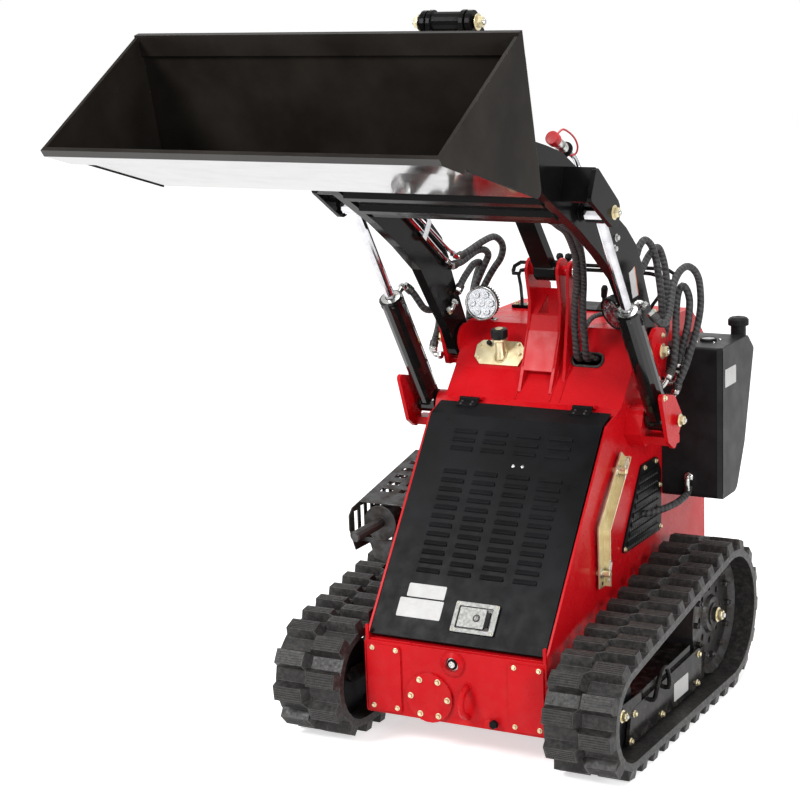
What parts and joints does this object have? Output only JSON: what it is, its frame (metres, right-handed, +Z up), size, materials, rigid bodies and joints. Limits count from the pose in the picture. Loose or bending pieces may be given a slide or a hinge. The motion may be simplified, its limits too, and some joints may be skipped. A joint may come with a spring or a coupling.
{
  "type": "mini skid steer loader",
  "caption": "Compact walk-behind tracked loader with parallel-linkage lift arms, tilting bucket, top-hinged engine door, side tank and rear handle bar.",
  "frame": {"origin": "on the ground, at the bottom centre of the whole machine's box with the arms raised and the bucket rolled back", "axes": "+Z up, -Y ahead (the bucket's side), +X to the machine's left, where the tank is"},
  "size_m": [0.895, 1.87, 1.743],
  "materials": {
    "black_paint": "gloss black paint",
    "black_plastic": "moulded black plastic",
    "black_satin": "satin black powder coat",
    "bright_steel": "bright plated or polished steel",
    "dark_steel": "dark bare or painted steel",
    "gold_zinc": "yellow zinc plate",
    "red_paint": "gloss red machine paint, dusty at the foot",
    "rubber": "black moulded rubber, dusty"
  },
  "bodies": {
    "chassis": {"arm_brace": "gold_zinc", "arm_bracket_left": "red_paint", "arm_bracket_right": "red_paint", "chassis_shell": "red_paint", "control_levers": "black_satin", "cylinder_bracket_left": "red_paint", "cylinder_bracket_right": "red_paint", "engine_block": "dark_steel", "filler_plate": "gold_zinc", "front_plate": "red_paint", "handle_bar": "black_paint", "idler_left": "black_satin", "idler_right": "black_satin", "muffler": "dark_steel", "muffler_guard": "dark_steel", "side_grille_left": "black_satin", "side_grille_right": "black_satin", "sprocket_left": "dark_steel", "sprocket_right": "dark_steel", "tank": "black_plastic", "tank_cap": "black_plastic", "tower": "red_paint", "track_frame_left": "black_paint", "track_frame_right": "black_paint", "track_left": "rubber", "track_right": "rubber"},
    "engine_door": {"engine_door": "black_satin"},
    "lift_arms": {"arm_left": "black_paint", "arm_right": "black_paint", "arm_tubes": "bright_steel", "cross_member": "black_paint"},
    "level_link": {"level_link": "black_paint"},
    "bell_crank": {"bell_crank": "black_paint"},
    "tilt_pin": {"tilt_pin": "gold_zinc"},
    "tilt_barrel": {"tilt_barrel": "black_paint"},
    "tilt_rod": {"tilt_rod": "bright_steel"},
    "attach_shaft": {"attach_shaft": "dark_steel"},
    "attach_plate": {"attach_plate": "black_paint", "bucket": "black_paint"},
    "lift_barrel_left": {"lift_barrel_left": "black_paint"},
    "lift_barrel_right": {"lift_barrel_right": "black_paint"},
    "lift_rod_left": {"lift_rod_left": "bright_steel"},
    "lift_rod_right": {"lift_rod_right": "bright_steel"},
    "lamp_left": {"lamp_left": "black_satin"},
    "lamp_right": {"lamp_right": "black_satin"}
  },
  "joints": [
    {"name": "arm_lift", "type": "hinge", "parent": "chassis", "child": "lift_arms", "pos_m": [0, 0.49, 0.89], "axis": [-1, 0, 0], "range_deg": [-78, 12]},
    {"name": "level_link_swing", "type": "hinge", "parent": "chassis", "child": "level_link", "pos_m": [0, 0.475, 1.08], "axis": [-1, 0, 0], "range_deg": [-79, 13]},
    {"name": "bell_crank_swing", "type": "hinge", "parent": "lift_arms", "child": "bell_crank", "pos_m": [0, 0, 1.525], "axis": [-1, 0, 0], "range_deg": [-13, 79]},
    {"name": "tilt_pin_turn", "type": "hinge", "parent": "bell_crank", "child": "tilt_pin", "pos_m": [0, -0.02079, 1.62281], "axis": [-1, 0, 0], "range_deg": [-79, 13]},
    {"name": "tilt_barrel_swing", "type": "hinge", "parent": "tilt_pin", "child": "tilt_barrel", "pos_m": [0, -0.02079, 1.62281], "axis": [1, 0, 0], "range_deg": [-2, 7]},
    {"name": "tilt_rod_slide", "type": "slide", "parent": "tilt_barrel", "child": "tilt_rod", "axis": [0, -0.9965, -0.083], "range_m": [-0.0195, 0.0885]},
    {"name": "attach_shaft_turn", "type": "hinge", "parent": "lift_arms", "child": "attach_shaft", "pos_m": [0, -0.42, 1.49], "axis": [-1, 0, 0], "range_deg": [-13, 79]},
    {"name": "bucket_tilt", "type": "hinge", "parent": "attach_shaft", "child": "attach_plate", "pos_m": [0, -0.42, 1.49], "axis": [1, 0, 0], "range_deg": [-12, 58]},
    {"name": "engine_door_hinge", "type": "hinge", "parent": "chassis", "child": "engine_door", "pos_m": [0, 0.3355, 0.77], "axis": [-1, 0, 0], "range_deg": [0, 80]},
    {"name": "lift_barrel_left_swing", "type": "hinge", "parent": "chassis", "child": "lift_barrel_left", "pos_m": [0.3155, 0.43, 0.735], "axis": [-1, 0, 0], "range_deg": [-80, 12.5]},
    {"name": "lift_rod_left_slide", "type": "slide", "parent": "lift_barrel_left", "child": "lift_rod_left", "axis": [0, -0.5402, 0.8415], "range_m": [-0.216, 0.034]},
    {"name": "lamp_left_swivel", "type": "hinge", "parent": "chassis", "child": "lamp_left", "pos_m": [0.188, 0.525, 0.987], "axis": [0, 0, 1], "range_deg": [-40, 40]},
    {"name": "lift_barrel_right_swing", "type": "hinge", "parent": "chassis", "child": "lift_barrel_right", "pos_m": [-0.3155, 0.43, 0.735], "axis": [-1, 0, 0], "range_deg": [-80, 12.5]},
    {"name": "lift_rod_right_slide", "type": "slide", "parent": "lift_barrel_right", "child": "lift_rod_right", "axis": [0, -0.5402, 0.8415], "range_m": [-0.216, 0.034]},
    {"name": "lamp_right_swivel", "type": "hinge", "parent": "chassis", "child": "lamp_right", "pos_m": [-0.188, 0.525, 0.987], "axis": [0, 0, 1], "range_deg": [-40, 40]}
  ],
  "couplings": [
    {"joint": "level_link_swing", "follows": "arm_lift", "ratio": 1},
    {"joint": "bell_crank_swing", "follows": "arm_lift", "ratio": -1},
    {"joint": "tilt_pin_turn", "follows": "arm_lift", "ratio": 1},
    {"joint": "attach_shaft_turn", "follows": "arm_lift", "ratio": -1},
    {"joint": "tilt_barrel_swing", "follows": "bucket_tilt", "ratio": 0.096},
    {"joint": "tilt_rod_slide", "follows": "bucket_tilt", "m_per_rad": 0.0865},
    {"joint": "lift_barrel_left_swing", "follows": "arm_lift", "ratio": 0.967},
    {"joint": "lift_rod_left_slide", "follows": "arm_lift", "m_per_rad": 0.1553},
    {"joint": "lift_barrel_right_swing", "follows": "arm_lift", "ratio": 0.967},
    {"joint": "lift_rod_right_slide", "follows": "arm_lift", "m_per_rad": 0.1553}
  ]
}
